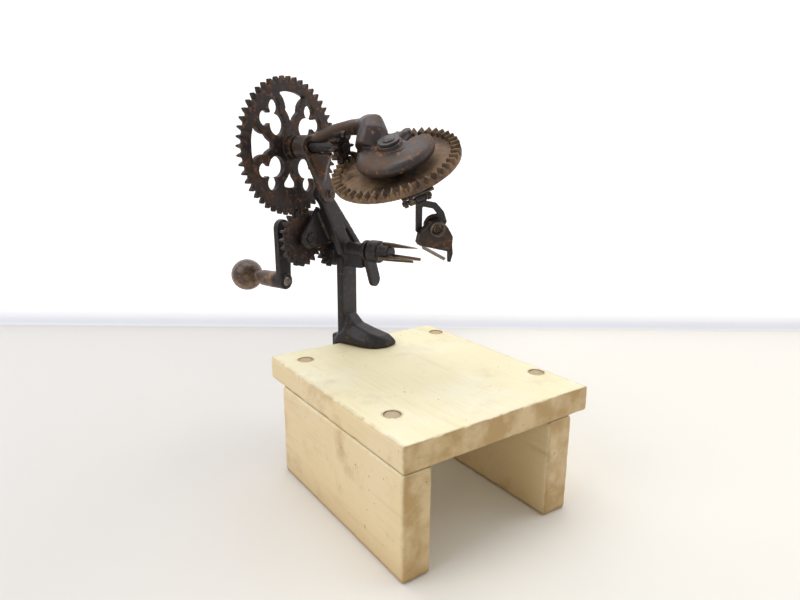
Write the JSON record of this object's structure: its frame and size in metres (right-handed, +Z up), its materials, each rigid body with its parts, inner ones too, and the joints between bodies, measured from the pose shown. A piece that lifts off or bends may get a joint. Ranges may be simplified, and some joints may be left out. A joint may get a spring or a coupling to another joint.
{
  "type": "apple parer",
  "caption": "Hand-cranked cast-iron turntable fruit parer with spur gear train, crown-toothed turntable, sprung knife and pronged fork, clamped to a low painted wooden stand.",
  "frame": {"origin": "middle of the stand's footprint box, at the level it rests on", "axes": "+X across the stand, +Y towards the stand's back edge where the machine is clamped, +Z up"},
  "size_m": [0.1966, 0.2806, 0.3228],
  "materials": {
    "cream_painted_wood": "satin",
    "grey_filler_plug": "matte",
    "varnished_wood": "satin",
    "dark_cast_iron": "worn",
    "rusty_cast_iron": "rusty",
    "worn_steel": "worn"
  },
  "bodies": {
    "base": {"stand_board": "cream_painted_wood", "left_leg": "cream_painted_wood", "right_leg": "cream_painted_wood", "plug_front_left": "grey_filler_plug", "plug_front_right": "grey_filler_plug", "plug_back_left": "grey_filler_plug", "plug_back_right": "grey_filler_plug", "main_frame": "dark_cast_iron", "over_arm": "rusty_cast_iron", "frame_rivet": "dark_cast_iron", "pivot_rivet": "worn_steel", "pivot_washer": "worn_steel"},
    "wheel": {"main_wheel": "rusty_cast_iron", "wheel_axle": "dark_cast_iron", "axle_pinion": "rusty_cast_iron"},
    "crank": {"crank_gear": "rusty_cast_iron", "crank_shaft": "dark_cast_iron", "crank_arm": "dark_cast_iron", "handle_spindle": "worn_steel"},
    "knob": {"crank_knob": "varnished_wood"},
    "fork": {"fork_pinion": "rusty_cast_iron", "fork_shaft": "dark_cast_iron", "fork_head": "dark_cast_iron", "upper_prong": "worn_steel", "near_prong": "worn_steel", "far_prong": "worn_steel"},
    "lever": {"push_off_lever": "dark_cast_iron"},
    "table": {"turntable": "rusty_cast_iron", "knife_bracket": "worn_steel", "knife_hinge_pin": "worn_steel"},
    "knife_swing": {"knife_arm": "dark_cast_iron", "arm_spring": "worn_steel", "head_rivet": "worn_steel"},
    "knife_head": {"knife_holder": "rusty_cast_iron", "knife_guard": "rusty_cast_iron", "knife_blade": "worn_steel", "head_spring": "worn_steel"},
    "pad": {"swivel_pad": "dark_cast_iron"},
    "screw": {"clamp_screw": "dark_cast_iron"}
  },
  "joints": [
    {"name": "wheel_spin", "type": "hinge", "parent": "base", "child": "wheel", "pos_m": [-0.04066, 0.03991, 0.26854], "axis": [0.3551, -0.9348, 0], "continuous": true},
    {"name": "crank_turn", "type": "hinge", "parent": "base", "child": "crank", "pos_m": [-0.03029, 0.04385, 0.19451], "axis": [0.3551, -0.9348, 0], "continuous": true},
    {"name": "fork_spin", "type": "hinge", "parent": "base", "child": "fork", "pos_m": [0.0044, 0.05702, 0.1823], "axis": [0.3551, -0.9348, 0], "continuous": true},
    {"name": "turntable_spin", "type": "hinge", "parent": "base", "child": "table", "pos_m": [-0.00755, -0.03545, 0.26104], "axis": [-0.4561, -0.1732, 0.8729], "continuous": true},
    {"name": "knob_spin", "type": "hinge", "parent": "crank", "child": "knob", "pos_m": [-0.03029, 0.04385, 0.15351], "axis": [0.3551, -0.9348, 0], "continuous": true},
    {"name": "lever_swing", "type": "hinge", "parent": "base", "child": "lever", "pos_m": [0.0044, 0.05702, 0.1823], "axis": [0.3551, -0.9348, 0], "range_deg": [-20, 25]},
    {"name": "knife_arm_swing", "type": "hinge", "parent": "table", "child": "knife_swing", "pos_m": [-0.01601, -0.07504, 0.23535], "axis": [0.839, -0.4108, 0.3568], "range_deg": [-25, 15], "stiffness_Nm_per_rad": 0.3},
    {"name": "knife_head_tilt", "type": "hinge", "parent": "knife_swing", "child": "knife_head", "pos_m": [-0.00016, -0.07376, 0.21777], "axis": [-0.2968, -0.8951, -0.3327], "range_deg": [-12, 12], "stiffness_Nm_per_rad": 0.15},
    {"name": "pad_slide", "type": "slide", "parent": "base", "child": "pad", "axis": [0, 0, -1], "range_m": [0, 0.012]},
    {"name": "screw_turn", "type": "hinge", "parent": "pad", "child": "screw", "pos_m": [0.01221, 0.03646, 0.077], "axis": [0, 0, -1], "range_deg": [0, 2170]}
  ],
  "couplings": [
    {"joint": "crank_turn", "follows": "wheel_spin", "ratio": -2.2857},
    {"joint": "fork_spin", "follows": "wheel_spin", "ratio": 3.2},
    {"joint": "turntable_spin", "follows": "wheel_spin", "ratio": -0.22727},
    {"joint": "screw_turn", "follows": "pad_slide", "rad_per_m": 3141.6}
  ]
}
